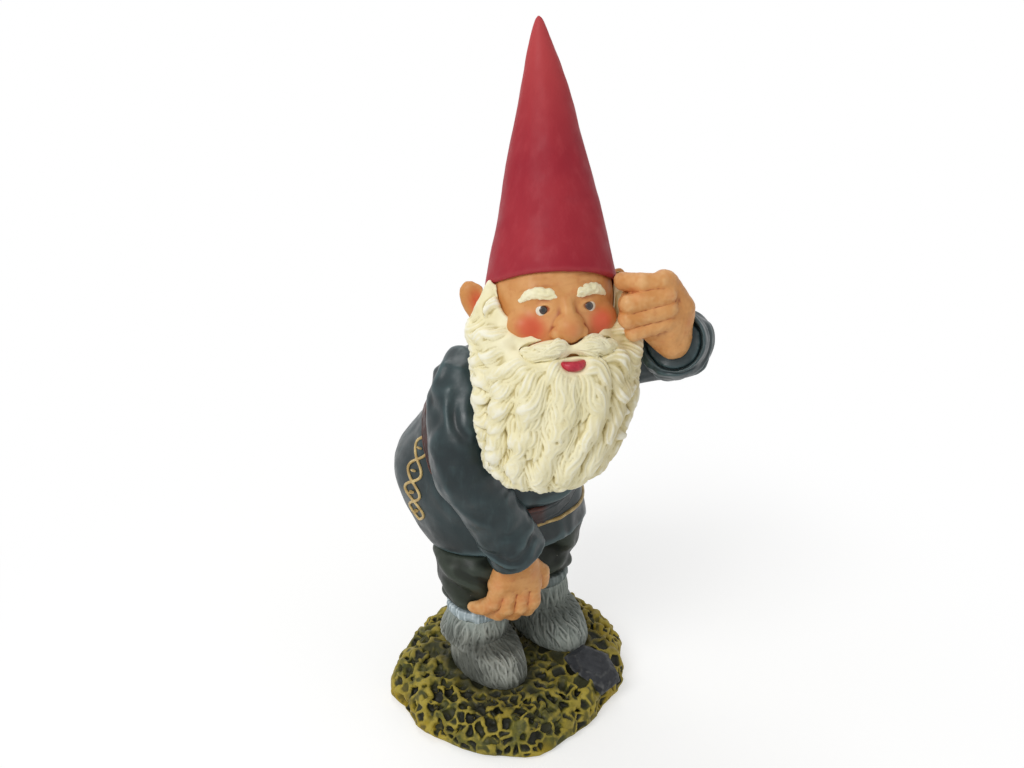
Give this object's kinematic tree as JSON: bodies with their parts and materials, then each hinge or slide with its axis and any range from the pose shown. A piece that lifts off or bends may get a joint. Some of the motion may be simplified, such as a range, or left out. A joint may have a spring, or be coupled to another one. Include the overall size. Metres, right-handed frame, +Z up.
{
  "type": "garden gnome",
  "caption": "Painted resin garden gnome in a tall pointed hat, bending forward with a hand on its knee and the other at its temple, on a mossy ground base.",
  "frame": {"origin": "middle of the flat underside of the ground base", "axes": "+Z up, -Y to the front where the toes point, +X to the gnome's left"},
  "size_m": [0.0965, 0.0997, 0.2275],
  "materials": {
    "moss": "cast resin, olive-yellow paint over dark green pits",
    "stone": "cast resin, charcoal paint",
    "boot_fur": "cast resin, grey paint brushed over fur relief",
    "boot_cuff": "cast resin, pale blue-grey paint",
    "rod_steel": "plain steel rod",
    "trousers": "cast resin, dark green paint",
    "coat": "cast resin, slate-blue satin paint",
    "belt": "cast resin, red-brown paint",
    "skin": "cast resin, tan paint with a brown wash",
    "beard": "cast resin, cream paint with a grey-brown wash",
    "lip": "cast resin, red paint",
    "hat": "cast resin, crimson satin paint"
  },
  "bodies": {
    "root": {"ground_base": "moss", "ground_stone": "stone", "left_boot": "boot_fur", "right_boot": "boot_fur", "left_boot_cuff": "boot_cuff", "right_boot_cuff": "boot_cuff", "left_leg_rod": "rod_steel", "right_leg_rod": "rod_steel", "left_trouser_leg": "trousers", "right_trouser_leg": "trousers", "coat": "coat", "belt": "belt", "left_sleeve": "coat", "right_sleeve": "coat", "left_hand": "skin", "right_hand": "skin", "head": "skin", "left_ear": "skin", "right_ear": "skin", "hair": "beard", "beard": "beard", "moustache": "beard", "left_eyebrow": "beard", "right_eyebrow": "beard", "lower_lip": "lip", "hat": "hat"}
  },
  "joints": []
}
